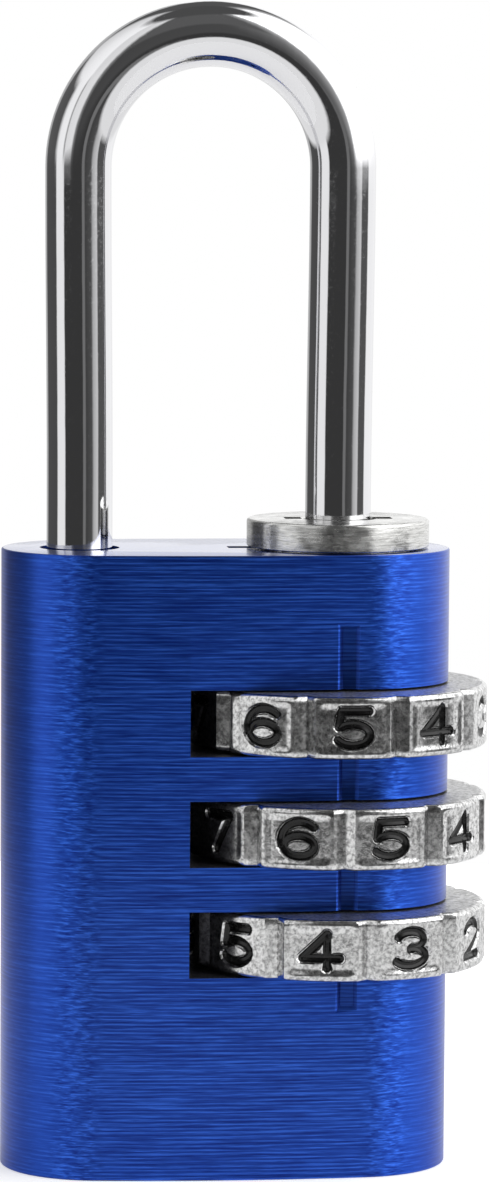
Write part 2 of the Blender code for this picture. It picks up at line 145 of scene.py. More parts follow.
def add(tree, kind, settings=None, stops=(), **sockets):
    """Add a node of a kind, such as Mapping. A socket takes a value, a node or a node's output.

    A socket is given by its name, or by _ and its number where several share a name.
    """
    node = tree.nodes.new("ShaderNode" + kind)
    for name, value in (settings or {}).items():
        setattr(node, name, value)
    for _ in stops[2:]:
        node.color_ramp.elements.new(1.0)
    for at, (position, colour) in enumerate(stops):
        node.color_ramp.elements[at].position = position
        node.color_ramp.elements[at].color = colour
    for name, value in sockets.items():
        by_number = name.startswith("_")
        socket = node.inputs[int(name[1:]) if by_number else name.replace("_", " ")]
        if isinstance(value, bpy.types.Node):
            value = next(output for output in value.outputs if output.enabled)
        if isinstance(value, bpy.types.NodeSocket):
            tree.links.new(value, socket)
        else:
            socket.default_value = value
    return node


def new_material(name):
    """A material with an empty tree, and the place on the piece, where its patterns are read."""
    material = bpy.data.materials.new(name)
    material.use_nodes = True
    tree = material.node_tree
    tree.nodes.clear()
    return material, tree, add(tree, "TexCoord").outputs["Object"]


def grains(*sizes_mm):
    """The Mapping scale that makes a pattern's grains this long, in millimetres, along x, y and z."""
    return [1 / (size * MM) for size in sizes_mm]


print("blue in linear numbers:", [round(c, 3) for c in linear("1A3FBF")])

# %% [markdown]
# ## Blue anodised aluminium, brushed
#
# The block is cut from an aluminium bar whose faces are brushed along the bar's girth, then anodised and
# dyed a clear blue. The eye sees level lines, ruled a quarter of a millimetre apart and broken by finer
# hairs. They could be carved, but at this size a bump and a change of dye do the same. The dye is darker in
# the valleys, so the lines show in colour as well as in the shine. A metal's colour is in its reflection, so
# the shader is fully metallic with the dye as its base colour, and its shine is stretched upright, across
# the brushing.

# %% Make the blue anodise
ONE_BAND = math.tau / 20    # the wave texture's scale at which one band is one unit long


def blue_anodised_aluminium(name, dark, middle, light):
    """Brushed and dyed aluminium. At the bar's corners, where the brush rolled over, lines become dashes."""
    material, tree, place = new_material(name)
    # The brush's ruling: bands 0.28 mm apart that wander a little, many millimetres long.
    stretched = add(tree, "Mapping", Vector=place, Scale=grains(9.0, 9.0, 0.28))
    ruling = add(tree, "TexWave", {"bands_direction": "Z"}, Vector=stretched, Scale=ONE_BAND,
                 Distortion=5.0, Detail=2.0, Detail_Scale=2.0, Detail_Roughness=0.6).outputs["Fac"]
    # Single bristles: lines 0.14 mm apart, and hairs as fine as the render can show.
    stretched = add(tree, "Mapping", Vector=place, Scale=grains(7.0, 7.0, 0.13))
    lines = add(tree, "TexNoise", Vector=stretched, Scale=1.0, Detail=3.0, Roughness=0.8, Distortion=0.12)
    stretched = add(tree, "Mapping", Vector=place, Scale=grains(2.0, 2.0, 0.08))
    hairs = add(tree, "TexNoise", Vector=stretched, Scale=1.0, Detail=2.0, Roughness=0.6)
    bristles = add(tree, "Mix", {"data_type": "FLOAT"}, _0=0.45, _2=lines, _3=hairs)
    brushed = add(tree, "Mix", {"data_type": "FLOAT"}, _0=0.14, _2=bristles, _3=ruling)
    # Dashes about a millimetre long where the face turns into the round end.
    stretched = add(tree, "Mapping", Vector=place, Scale=grains(0.9, 0.9, 0.13))
    dashes = add(tree, "TexNoise", Vector=stretched, Scale=1.0, Detail=2.0, Roughness=0.6, Distortion=0.4)
    across = add(tree, "SeparateXYZ", Vector=place).outputs["X"]
    from_middle = add(tree, "Math", {"operation": "ABSOLUTE"}, _0=across)
    onto_corner = add(tree, "MapRange", _0=from_middle, _1=8.4 * MM, _2=9.4 * MM, _3=0.0, _4=0.7)
    off_corner = add(tree, "MapRange", _0=from_middle, _1=10.9 * MM, _2=12.2 * MM, _3=1.0, _4=0.3)
    at_corner = add(tree, "Math", {"operation": "MULTIPLY"}, _0=onto_corner, _1=off_corner)
    crinkled = add(tree, "Mix", {"data_type": "FLOAT"}, _0=at_corner, _2=brushed, _3=dashes)
    # The ends were rubbed smoother, which evens the lines out.
    rubbed = add(tree, "MapRange", _0=from_middle, _1=11.2 * MM, _2=12.6 * MM, _3=0.0, _4=0.6)
    surface = add(tree, "Mix", {"data_type": "FLOAT"}, _0=rubbed, _2=crinkled, _3=0.5)
    dye = add(tree, "ValToRGB", _0=surface,
              stops=[(0.36, linear(dark)), (0.50, linear(middle)), (0.64, linear(light))])
    # Cloudy patches a centimetre wide, where the etch before the dye left the skin a little duller.
    broad = add(tree, "Mapping", Vector=place, Scale=grains(9.0, 9.0, 14.0))
    clouds = add(tree, "TexNoise", Vector=broad, Scale=1.0, Detail=1.0)
    roughness = add(tree, "MapRange", _0=clouds, _1=0.3, _2=0.7, _3=0.37, _4=0.43)
    bump = add(tree, "Bump", Strength=1.0, Distance=0.012 * MM, Height=surface)
    shader = add(tree, "BsdfPrincipled", Base_Color=dye, Metallic=1.0, Roughness=roughness, Normal=bump,
                 Anisotropic=0.85, Anisotropic_Rotation=0.25, Coat_Weight=0.2, Coat_Roughness=0.3)
    add(tree, "OutputMaterial", Surface=shader)
    return material


def anodised_cut_end():
    """The sawn end of the bar: the clear skin over the dye mirrors at a low angle, over a fine even grain."""
    material, tree, place = new_material("anodised_cut_end")
    scaled = add(tree, "Mapping", Vector=place, Scale=grains(0.12, 0.12, 0.12))
    frost = add(tree, "TexNoise", Vector=scaled, Scale=1.0, Detail=2.0)
    # Dark dots of pooled dye, a tenth of a millimetre wide and just under one apart.
    scaled = add(tree, "Mapping", Vector=place, Scale=grains(0.91, 0.91, 0.91))
    cells = add(tree, "TexVoronoi", {"feature": "F1"}, Vector=scaled, Scale=1.0).outputs["Distance"]
    clear = add(tree, "MapRange", _0=cells, _1=0.06, _2=0.14, _3=0.0, _4=1.0)
    dye = add(tree, "ValToRGB", stops=[(0.3, linear("16409A")), (0.7, linear("2858C0"))], _0=frost)
    dotted = add(tree, "Mix", {"data_type": "RGBA"}, _0=clear, _6=linear("0A1440"), _7=dye)
    bump = add(tree, "Bump", Strength=1.0, Distance=0.001 * MM, Height=frost)
    shader = add(tree, "BsdfPrincipled", Base_Color=dotted, Metallic=1.0, Roughness=0.36, Normal=bump,
                 Coat_Weight=1.0, Coat_Roughness=0.12, Coat_IOR=1.65)
    add(tree, "OutputMaterial", Surface=shader)
    return material


def milled_slot_wall():
    """The walls of the milled slots, a dark grey, with the cutter's fine marks."""
    material, tree, place = new_material("milled_slot_wall")
    scaled = add(tree, "Mapping", Vector=place, Scale=grains(0.12, 0.9, 0.12))
    marks = add(tree, "TexNoise", Vector=scaled, Scale=1.0, Detail=2.0)
    tone = add(tree, "ValToRGB", stops=[(0.3, linear("44444A")), (0.7, linear("66666C"))], _0=marks)
    bump = add(tree, "Bump", Strength=1.0, Distance=0.004 * MM, Height=marks)
    shader = add(tree, "BsdfPrincipled", Base_Color=tone, Metallic=1.0, Roughness=0.55, Normal=bump)
    add(tree, "OutputMaterial", Surface=shader)
    return material


SLOT_WALL = milled_slot_wall()
BLUE = blue_anodised_aluminium("blue_anodised_aluminium", "0E2E89", "1F4AB0", "3972EA")
# Painted shade: the groove's copy of the blue is darker all over, for the shade inside the index groove.
SHADED_GROOVE_BLUE = blue_anodised_aluminium("blue_anodised_groove", "0C2A70", "163C92", "2450B0")
CUT_END = anodised_cut_end()
print("made", BLUE.name, "and", CUT_END.name)

# %% [markdown]
# ## Chrome and steel
#
# The shackle is hardened steel, polished and bright chromed: almost a mirror, with the faintest waviness left
# by the polishing belt. The collar is turned and ground, so its side carries short level scratches. The dials
# are cast in zinc and plated, which keeps the pebbled skin of the casting under the shine. Steel inside the
# lock is plain drawn wire and turned brass.

# %% Make the chrome and the ground steel


def bright_chrome():
    """Polished and plated steel: a mirror whose reflections waver, with a little dust that dulls it."""
    material, tree, place = new_material("bright_chrome")
    scaled = add(tree, "Mapping", Vector=place, Scale=grains(1.6, 1.6, 5.0))
    waves = add(tree, "TexNoise", Vector=scaled, Scale=1.0, Detail=2.0)
    scaled = add(tree, "Mapping", Vector=place, Scale=grains(0.3, 0.3, 0.5))
    dents = add(tree, "TexNoise", Vector=scaled, Scale=1.0, Detail=2.0)
    scaled = add(tree, "Mapping", Vector=place, Scale=grains(0.25, 0.25, 0.25))
    dust = add(tree, "TexNoise", Vector=scaled, Scale=1.0, Detail=3.0, Roughness=0.7)
    roughness = add(tree, "MapRange", _0=dust, _1=0.5, _2=0.8, _3=0.03, _4=0.16)
    belt = add(tree, "Bump", Strength=1.0, Distance=0.010 * MM, Height=waves)
    bump = add(tree, "Bump", Strength=1.0, Distance=0.0006 * MM, Height=dents, Normal=belt)
    shader = add(tree, "BsdfPrincipled", Base_Color=linear("E2E2E4"), Metallic=1.0,
                 Roughness=roughness, Normal=bump)
    add(tree, "OutputMaterial", Surface=shader)
    return material


def ground_steel():
    """Turned and ground steel: scratches that run round it, over blotches a millimetre wide."""
    material, tree, place = new_material("ground_steel")
    scaled = add(tree, "Mapping", Vector=place, Scale=grains(1.3, 1.3, 0.10))
    scratches = add(tree, "TexNoise", Vector=scaled, Scale=1.0, Detail=3.0, Roughness=0.7, Distortion=0.5)
    scaled = add(tree, "Mapping", Vector=place, Scale=grains(0.9, 0.9, 0.5))
    blotches = add(tree, "TexNoise", Vector=scaled, Scale=1.0, Detail=3.0, Roughness=0.6)
    tone = add(tree, "ValToRGB", _0=scratches,
               stops=[(0.3, linear("9C9C9A")), (0.5, linear("CCCCCA")), (0.7, linear("E8E8E6"))])
    roughness = add(tree, "MapRange", _0=blotches, _1=0.35, _2=0.65, _3=0.17, _4=0.31)
    uneven = add(tree, "Bump", Strength=1.0, Distance=0.014 * MM, Height=blotches)
    bump = add(tree, "Bump", Strength=1.0, Distance=0.0025 * MM, Height=scratches, Normal=uneven)
    shader = add(tree, "BsdfPrincipled", Base_Color=tone, Metallic=1.0, Roughness=roughness, Normal=bump,
                 Anisotropic=0.6, Anisotropic_Rotation=0.25)
    add(tree, "OutputMaterial", Surface=shader)
    return material


# %% Make the dials' metal and the paint in their numbers


def chromed_zinc(name, pebble_depth, roughness):
    """Plated die casting: the mould's skin, a quarter of a millimetre a pebble, shows under the plating."""
    material, tree, place = new_material(name)
    scaled = add(tree, "Mapping", Vector=place, Scale=grains(0.26, 0.26, 0.26))
    pebbles = add(tree, "TexNoise", Vector=scaled, Scale=1.0, Detail=3.0, Roughness=0.65, Distortion=0.15)
    scaled = add(tree, "Mapping", Vector=place, Scale=grains(0.7, 0.7, 0.7))
    pits = add(tree, "TexNoise", Vector=scaled, Scale=1.0, Detail=2.0)
    tone = add(tree, "ValToRGB", stops=[(0.36, linear("969696")), (0.58, linear("DCDCDC"))], _0=pebbles)
    dulled = add(tree, "MapRange", _0=pits, _1=0.3, _2=0.7, _3=roughness, _4=roughness + 0.1)
    bump = add(tree, "Bump", Strength=1.0, Distance=pebble_depth, Height=pebbles)
    shader = add(tree, "BsdfPrincipled", Base_Color=tone, Metallic=1.0, Roughness=dulled, Normal=bump)
    add(tree, "OutputMaterial", Surface=shader)
    return material


def black_enamel():
    """The paint wiped into the engraved numbers: thin, dark and uneven in gloss."""
    material, tree, place = new_material("black_enamel")
    scaled = add(tree, "Mapping", Vector=place, Scale=grains(0.3, 0.3, 0.3))
    flow = add(tree, "TexNoise", Vector=scaled, Scale=1.0, Detail=3.0)
    tone = add(tree, "ValToRGB", stops=[(0.3, linear("060606")), (0.7, linear("121212"))], _0=flow)
    gloss = add(tree, "MapRange", _0=flow, _1=0.3, _2=0.7, _3=0.12, _4=0.32)
    bump = add(tree, "Bump", Strength=1.0, Distance=0.006 * MM, Height=flow)
    shader = add(tree, "BsdfPrincipled", Base_Color=tone, Roughness=gloss, Normal=bump,
                 Specular_IOR_Level=0.35)
    add(tree, "OutputMaterial", Surface=shader)
    return material


# %% Make the metals of the works


def inner_metal(name, dark, light, roughness):
    """A plain machined metal for the works inside, with tool marks that run round it."""
    material, tree, place = new_material(name)
    scaled = add(tree, "Mapping", Vector=place, Scale=grains(1.2, 1.2, 0.08))
    marks = add(tree, "TexNoise", Vector=scaled, Scale=1.0, Detail=2.0)
    tone = add(tree, "ValToRGB", stops=[(0.3, linear(dark)), (0.7, linear(light))], _0=marks)
    dulled = add(tree, "MapRange", _0=marks, _1=0.3, _2=0.7, _3=roughness, _4=roughness + 0.1)
    bump = add(tree, "Bump", Strength=1.0, Distance=0.003 * MM, Height=marks)
    shader = add(tree, "BsdfPrincipled", Base_Color=tone, Metallic=1.0, Roughness=dulled, Normal=bump)
    add(tree, "OutputMaterial", Surface=shader)
    return material


CHROME = bright_chrome()
STEEL = ground_steel()
ZINC = chromed_zinc("chromed_zinc", 0.0012 * MM, 0.12)
ZINC_FIELD = chromed_zinc("pebbled_zinc_field", 0.006 * MM, 0.12)
ZINC_SIDE = chromed_zinc("matt_zinc_side", 0.005 * MM, 0.36)
ENAMEL = black_enamel()
WIRE = inner_metal("drawn_spring_wire", "6A6A6C", "8C8C8E", 0.28)
BRASS = inner_metal("turned_brass", "A8843C", "CDA55A", 0.25)
BALL = inner_metal("hardened_ball_steel", "7C7C80", "9A9A9E", 0.12)
print("made", len(bpy.data.materials), "materials")

# %% [markdown]
# ## Tools for pieces
#
# A piece starts in a bmesh, and cuts use Boolean tools that are applied at once and thrown away, so what is
# left is one clean mesh at the origin.

# %% Helpers for pieces


def to_object(name, bm, *materials):
    """Finish a bmesh into an object at the origin, outward facing."""
    bmesh.ops.recalc_face_normals(bm, faces=bm.faces)
    mesh = bpy.data.meshes.new(name)
    bm.to_mesh(mesh)
    bm.free()
    for material in materials:
        mesh.materials.append(material)
    made = bpy.data.objects.new(name, mesh)
    bpy.context.scene.collection.objects.link(made)
    return made


def bake_modifiers(piece):
    """Replace a piece's mesh by what its modifiers make of it."""
    bpy.context.view_layer.update()
    evaluated = piece.evaluated_get(bpy.context.evaluated_depsgraph_get())
    mesh = bpy.data.meshes.new_from_object(evaluated)
    piece.modifiers.clear()
    old, piece.data = piece.data, mesh
    mesh.name = old.name
    bpy.data.meshes.remove(old)


def carve(piece, tool, operation="DIFFERENCE"):
    """Cut a tool object out of a piece, or join it on, and throw the tool away."""
    step = piece.modifiers.new("carve", "BOOLEAN")
    step.operation = operation
    step.object = tool
    step.solver = "MANIFOLD"
    bake_modifiers(piece)
    bpy.data.objects.remove(tool)


def remove_slivers(piece):
    """Take out what a Boolean can leave behind: faces without area, and pairs of faces back to back."""
    bm = bmesh.new()
    bm.from_mesh(piece.data)
    bmesh.ops.dissolve_degenerate(bm, edges=bm.edges, dist=WELD)
    by_corners = {}
    for face in bm.faces:
        by_corners.setdefault(frozenset(face.verts), []).append(face)
    doubled = [face for faces in by_corners.values() if len(faces) > 1 for face in faces]
    bmesh.ops.delete(bm, geom=doubled, context="FACES")
    bmesh.ops.delete(bm, geom=[e for e in bm.edges if not e.link_faces], context="EDGES")
    bmesh.ops.delete(bm, geom=[v for v in bm.verts if not v.link_faces], context="VERTS")
    bm.to_mesh(piece.data)
    bm.free()


def box_tool(low, high, material):
    bm = bmesh.new()
    low, high = Vector(low), Vector(high)
    bmesh.ops.create_cube(bm, size=1.0, matrix=Matrix.Translation((low + high) / 2)
                          @ Matrix.Diagonal((*(high - low), 1.0)))
    return to_object("box_tool", bm, material)


def round_tool(radius, start, end, material, segments=96):
    """A closed cylinder between two points."""
    start, end = Vector(start), Vector(end)
    along = end - start
    turn = Vector((0, 0, 1)).rotation_difference(along).to_matrix().to_4x4()
    half_step = Matrix.Rotation(math.pi / segments, 4, "Z")
    bm = bmesh.new()
    bmesh.ops.create_cone(bm, cap_ends=True, segments=segments, radius1=radius, radius2=radius,
                          depth=along.length, matrix=Matrix.Translation((start + end) / 2) @ turn @ half_step)
    return to_object("round_tool", bm, material)


def finish_piece(piece, body, slot, *nodes, crease_deg=32):
    """Shade a piece, hang it on its body, and let it stand for its CAD nodes."""
    piece.data.shade_smooth()
    piece.data.set_sharp_from_angle(angle=math.radians(crease_deg))
    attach(piece, body)
    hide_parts(*nodes)
    print(piece.name, "has", len(piece.data.polygons), "faces")


# %% [markdown]
# ## The block
#
# The bar's outline is four arcs: two tight ends and two long, slightly bulged faces. A single vertex spun
# round each centre in turn draws it. The face is then drawn up to the block's height, and its rims broken by
# a small bevel, as a deburring wheel leaves them. The bore, the toe hole, the slit that joins them, the pin's
# hole, the three slots with their click holes and the index groove are cut afterwards.

# %% Draw and cut the block
END_RADIUS = 6.6 * MM
END_X = BLOCK_WIDTH / 2 - END_RADIUS
SIDE_RADIUS = (END_X ** 2 + BLOCK_DEPTH ** 2 / 4 - END_RADIUS ** 2) / (BLOCK_DEPTH - 2 * END_RADIUS)
SIDE_Y = BLOCK_DEPTH / 2 - SIDE_RADIUS
MEET = math.atan2(END_X, -SIDE_Y)
END_STEPS = 144
SIDE_STEPS = 120
RIM = 0.14 * MM
BORE_RADIUS = 5.3 * MM
BORE_FLOOR = 4 * MM
LEG_LEAN = 0.16 * MM        # how far each leg leans outwards on its way up
TOE_X = shackle_low.x + ROD_RADIUS + LEG_LEAN
TOE_HOLE = 2.65 * MM
TOE_HOLE_FLOOR = 35 * MM
SLIT_LEFT = 0.1 * MM
SLIT_HALF = 0.7 * MM
SLIT_DEPTH = 2.2 * MM
PIN_RADIUS = 0.7 * MM
PIN_START = 4 * MM
PIN_Z = 39.4 * MM
CLICK_HOLE = 1.3 * MM
CLICK_LEFT = -8.6 * MM
CLICK_RIGHT = -1.9 * MM
SLOT_HEIGHT = 4.4 * MM
SLOT_LEFT = -2.9 * MM
GROOVE_X = AXIS_X + 0.12 * MM
GROOVE_WIDTH = 1.48 * MM
GROOVE_CHANNEL = 1.45 * MM
GROOVE_FLOOR = 0.84 * MM
GROOVE_DEPTH = 0.27 * MM
GROOVE_RIM = 0.08 * MM
GROOVE_RIM_DEPTH = 0.058 * MM
GROOVE_TOP = 36.95 * MM
GROOVE_BOTTOM = 11.2 * MM
CUT_END_AT = 1          # the cut end's place in the block's list of materials
END_SKIN = 0.01 * MM
LEVEL = 0.95            # the upward share of a normal from which a face counts as level


def spin_arc(bm, start, centre, angle, steps):
    """Draw an arc from a vertex and return its last vertex."""
    spun = bmesh.ops.spin(bm, geom=[start], cent=centre, axis=(0, 0, 1), dvec=(0, 0, 0), angle=angle,
                          steps=steps, use_merge=False, use_duplicate=False)
    return next(g for g in spun["geom_last"] if isinstance(g, bmesh.types.BMVert))


def bar(bm):
    """The round-ended bar, standing on the origin."""
    first = -math.pi / 2 + MEET
    vertex = bm.verts.new((END_X + END_RADIUS * math.cos(first), END_RADIUS * math.sin(first), 0))
    for side in (1, -1):
        vertex = spin_arc(bm, vertex, (side * END_X, 0, 0), math.pi - 2 * MEET, END_STEPS)
        vertex = spin_arc(bm, vertex, (0, side * SIDE_Y, 0), 2 * MEET, SIDE_STEPS)
    bmesh.ops.remove_doubles(bm, verts=bm.verts, dist=NEAR)
    bmesh.ops.contextual_create(bm, geom=bm.edges[:])
    drawn = bmesh.ops.extrude_face_region(bm, geom=bm.faces[:])
    lifted = [g for g in drawn["geom"] if isinstance(g, bmesh.types.BMVert)]
    bmesh.ops.translate(bm, verts=lifted, vec=(0, 0, BLOCK_HEIGHT))
    rims = [e for e in bm.edges if abs(e.verts[0].co.z - e.verts[1].co.z) < NEAR]
    bmesh.ops.bevel(bm, geom=rims, offset=RIM, segments=4, profile=0.5, affect="EDGES", material=-1)


def groove_tool(width, floor_width, depth, material):
    """A channel with slanted walls, run down the front over all three slots."""
    bm = bmesh.new()
    face_y = -(SIDE_Y + math.sqrt(SIDE_RADIUS ** 2 - GROOVE_X ** 2))
    middle = Vector((GROOVE_X, face_y, (GROOVE_TOP + GROOVE_BOTTOM) / 2))
    length = GROOVE_TOP - GROOVE_BOTTOM - GROOVE_WIDTH + width
    bmesh.ops.create_cube(bm, size=1.0, matrix=Matrix.Translation(middle)
                          @ Matrix.Diagonal((width, 2 * depth, length, 1.0)))
    slant = (width - floor_width) / width
    slant_up = (width - floor_width) / length
    deep = [v for v in bm.verts if v.co.y > face_y]
    shallow = [v for v in bm.verts if v.co.y < face_y]
    bmesh.ops.scale(bm, verts=deep, vec=(1 - slant, 1, 1 - slant_up), space=Matrix.Translation(-middle))
    bmesh.ops.scale(bm, verts=shallow, vec=(1 + slant, 1, 1 + slant_up), space=Matrix.Translation(-middle))
    return to_object("groove_tool", bm, material)


def make_block():
    bm = bmesh.new()
    bar(bm)
    block = to_object("anodised_block", bm, BLUE, CUT_END, SLOT_WALL, SHADED_GROOVE_BLUE)
    top = BLOCK_HEIGHT + MM
    carve(block, round_tool(BORE_RADIUS, (AXIS_X, 0, BORE_FLOOR), (AXIS_X, 0, top), CUT_END))
    carve(block, round_tool(TOE_HOLE, (TOE_X, 0, TOE_HOLE_FLOOR), (TOE_X, 0, top), CUT_END))
    carve(block, box_tool((SLIT_LEFT, -SLIT_HALF, BLOCK_HEIGHT - SLIT_DEPTH), (AXIS_X, SLIT_HALF, top),
                          CUT_END))
    carve(block, round_tool(PIN_RADIUS, (AXIS_X, PIN_START, PIN_Z), (AXIS_X, BLOCK_DEPTH, PIN_Z), CUT_END,
                            segments=24))
    for middle in DIAL_MIDDLES:
        carve(block, box_tool((SLOT_LEFT, -BLOCK_DEPTH, middle - SLOT_HEIGHT / 2),
                              (BLOCK_WIDTH, BLOCK_DEPTH, middle + SLOT_HEIGHT / 2), SLOT_WALL))
        carve(block, round_tool(CLICK_HOLE, (CLICK_LEFT, 0, middle), (CLICK_RIGHT, 0, middle), CUT_END, 32))
    carve(block, groove_tool(GROOVE_WIDTH, GROOVE_WIDTH - 2 * GROOVE_RIM, GROOVE_RIM_DEPTH, BLUE))
    # The channel gets the darker blue, painted shade inside the groove.
    carve(block, groove_tool(GROOVE_CHANNEL, GROOVE_FLOOR, GROOVE_DEPTH, SHADED_GROOVE_BLUE))
    for face in block.data.polygons:
        on_end = min(face.center.z, BLOCK_HEIGHT - face.center.z) < END_SKIN
        if on_end and abs(face.normal.z) > LEVEL:
            face.material_index = CUT_END_AT
    finish_piece(block, "block", "blue_anodised_aluminium", "lock_body", crease_deg=28)


make_block()

# %% [markdown]
# ## The shackle
#
# One rod, bent round. A circle of vertices follows the rod's middle line: it is extruded ring by ring, each
# ring set square to the line. Both ends get the small chamfer that a bar cropper's tumble leaves. The three
# pairs of lugs that the code sleeves hold back sit on the long leg, out of sight inside the block.

# %% Sweep the rod
LEAN_START = 45 * MM
LEAN_SHARES = [0.0, 0.15, 0.3, 0.45, 0.6, 0.75, 0.9]
HEEL_HEIGHTS = [z * MM for z in (7.7, 20, 36, 41, 44)]
TOE_HEIGHTS = [z * MM for z in (44, 41, 38, 36)]
ARCH_STEPS = 60
ROD_SIDES = 48
ROD_CHAMFER = 0.45 * MM
LUG_HALF = 0.7 * MM
LUG_REACH = 3.4 * MM
LUG_HEIGHT = 1.8 * MM
LUG_DROP = 1.4 * MM


def leaning(foot_x, lean, arch_z, shares):
    """Points of a leg that leans out smoothly, at shares of the way up to the arch."""
    return [Vector((foot_x + lean * t * t * (3 - 2 * t), 0, LEAN_START + (arch_z - LEAN_START) * t))
            for t in shares]


def shackle_line():
    """Points and directions of the rod's middle line, from the heel's foot over the arch to the toe."""
    heel_x = AXIS_X + LEG_LEAN
    toe_x = TOE_X - LEG_LEAN
    arch_radius = (heel_x - toe_x) / 2
    arch_z = shackle_high.z - ROD_RADIUS - arch_radius
    middle_x = (heel_x + toe_x) / 2
    line = [Vector((AXIS_X, 0, height)) for height in HEEL_HEIGHTS]
    line += leaning(AXIS_X, LEG_LEAN, arch_z, LEAN_SHARES)
    for step in range(ARCH_STEPS + 1):
        angle = math.pi * step / ARCH_STEPS
        line.append(Vector((middle_x + arch_radius * math.cos(angle), 0,
                            arch_z + arch_radius * math.sin(angle))))
    line += leaning(TOE_X, -LEG_LEAN, arch_z, reversed(LEAN_SHARES))
    return line + [Vector((TOE_X, 0, height)) for height in TOE_HEIGHTS]


def make_shackle():
    line = shackle_line()
    bm = bmesh.new()
    ring = bmesh.ops.create_circle(bm, cap_ends=False, segments=ROD_SIDES, radius=ROD_RADIUS)["verts"]
    bmesh.ops.translate(bm, verts=ring, vec=line[0])
    edges = list({e for v in ring for e in v.link_edges})
    first_edges = list(edges)
    heading = Vector((0, 0, 1))
    for at in range(1, len(line)):
        drawn = bmesh.ops.extrude_edge_only(bm, edges=edges)["geom"]
        ring = [g for g in drawn if isinstance(g, bmesh.types.BMVert)]
        edges = [g for g in drawn if isinstance(g, bmesh.types.BMEdge)]
        bmesh.ops.translate(bm, verts=ring, vec=line[at] - line[at - 1])
        ahead = line[min(at + 1, len(line) - 1)] - line[at - 1]
        turn = heading.rotation_difference(ahead.normalized())
        bmesh.ops.rotate(bm, verts=ring, cent=line[at], matrix=turn.to_matrix())
        heading = ahead.normalized()
    for rim in (first_edges, edges):
        cap = bmesh.ops.contextual_create(bm, geom=rim)["faces"]
        bmesh.ops.bevel(bm, geom=list(cap[0].edges), offset=ROD_CHAMFER, segments=3, profile=0.5,
                        affect="EDGES", material=-1)
    shackle = to_object("shackle_rod", bm, CHROME)
    for middle in DIAL_MIDDLES:
        low = middle - LUG_DROP
        lug = box_tool((AXIS_X - LUG_HALF, -LUG_REACH, low), (AXIS_X + LUG_HALF, LUG_REACH, low + LUG_HEIGHT),
                       CHROME)
        carve(shackle, lug, "UNION")
    finish_piece(shackle, "shackle_body", "chromed_steel", "shackle")


make_shackle()

# %% [markdown]
# ## The collar
#
# A turned ring: its section, which holds the round of its top edge, is drawn once and spun round the heel's
# axis. A slot across the bore lets the lugs through when the lock is put together.

# %% Turn the collar
COLLAR_STEPS = 128
COLLAR_RADIUS = 6.1 * MM
COLLAR_EDGE = 0.22 * MM
COLLAR_GAP = 0.1 * MM       # between its flange and the block
COLLAR_BREAK = 0.06 * MM
COLLAR_NECK = 5.15 * MM
COLLAR_FOOT = 38.2 * MM
COLLAR_BORE = 2.45 * MM
BORE_BREAK = 0.15 * MM
KEYWAY_HALF = 0.8 * MM
KEYWAY_REACH = 3.6 * MM
KEYWAY_START = 37 * MM


def turned(name, section, axis_x, steps, *materials):
    """Spin a closed section of (radius, height) points once round an upright axis."""
    bm = bmesh.new()
    corners = [bm.verts.new((axis_x + radius, 0, height)) for radius, height in section]
    edges = [bm.edges.new((one, other)) for one, other in zip(corners, corners[1:] + corners[:1])]
    bmesh.ops.spin(bm, geom=corners + edges, cent=(axis_x, 0, 0), axis=(0, 0, 1), dvec=(0, 0, 0),
                   angle=math.tau, steps=steps, use_merge=True, use_duplicate=False)
    bmesh.ops.remove_doubles(bm, verts=bm.verts, dist=WELD)
    return to_object(name, bm, *materials)


def rounded(radius, top, edge, steps=5):
    """The points of a quarter-round outer edge, from the top face down to the side."""
    points = []
    for step in range(steps + 1):
        angle = math.pi / 2 * step / steps
        points.append((radius - edge + edge * math.sin(angle), top - edge + edge * math.cos(angle)))
    return points


def make_collar():
    top = collar_high.z
    seat = BLOCK_HEIGHT + COLLAR_GAP
    section = [(COLLAR_BORE + BORE_BREAK, top)] + rounded(COLLAR_RADIUS, top, COLLAR_EDGE)
    section += [(COLLAR_RADIUS, seat + COLLAR_BREAK), (COLLAR_RADIUS - COLLAR_BREAK, seat),
                (COLLAR_NECK, seat), (COLLAR_NECK, COLLAR_FOOT),
                (COLLAR_BORE, COLLAR_FOOT), (COLLAR_BORE, top - BORE_BREAK)]
    collar = turned("flanged_collar", section, AXIS_X, COLLAR_STEPS, STEEL)
    carve(collar, box_tool((AXIS_X - KEYWAY_REACH, -KEYWAY_HALF, KEYWAY_START),
                           (AXIS_X + KEYWAY_REACH, KEYWAY_HALF, top + MM), STEEL))
    finish_piece(collar, "block", "ground_steel", "collar")


make_collar()

# %% [markdown]
# ## The number dials
#
# Each dial is a ring with ten number faces and a valley between each two, where the click ball drops in. A
# tall ring of vertices is divided finely, and each vertex is then pushed in or out along its own radius: in
# at the valleys, and slightly in over the field that holds the number. The numbers are cut last.

# %% Shape the dials' skin
DIVISIONS = 10
DIVISION_DEG = 360 / DIVISIONS
DIAL_TURNS = [0.0, 15.0, -11.5]
FRONT_DIGITS = [5, 5, 4]
RIM_ROUND = 0.34 * MM
VALLEY_HALF_DEG = 4.0
VALLEY_DEPTH = 0.5 * MM
FIELD_DEPTH = 0.06 * MM
FIELD_SIDE_DEG = (11.0, 12.6)                   # where the field's border starts and ends across a face
FIELD_BORDER = (0.62 * MM, 0.46 * MM)           # and how far from the rims
AROUND = 360
UPWARD = 18
RIM_STEPS = 5


def smooth_step(low, high, value):
    t = min(max((value - low) / (high - low), 0.0), 1.0)
    return t * t * (3 - 2 * t)


def angle_from_face(point):
    """Degrees from the middle of the nearest number face, on a dial that stands on the origin."""
    degrees = math.degrees(math.atan2(point.y, point.x)) + 90
    return (degrees + DIVISION_DEG / 2) % DIVISION_DEG - DIVISION_DEG / 2


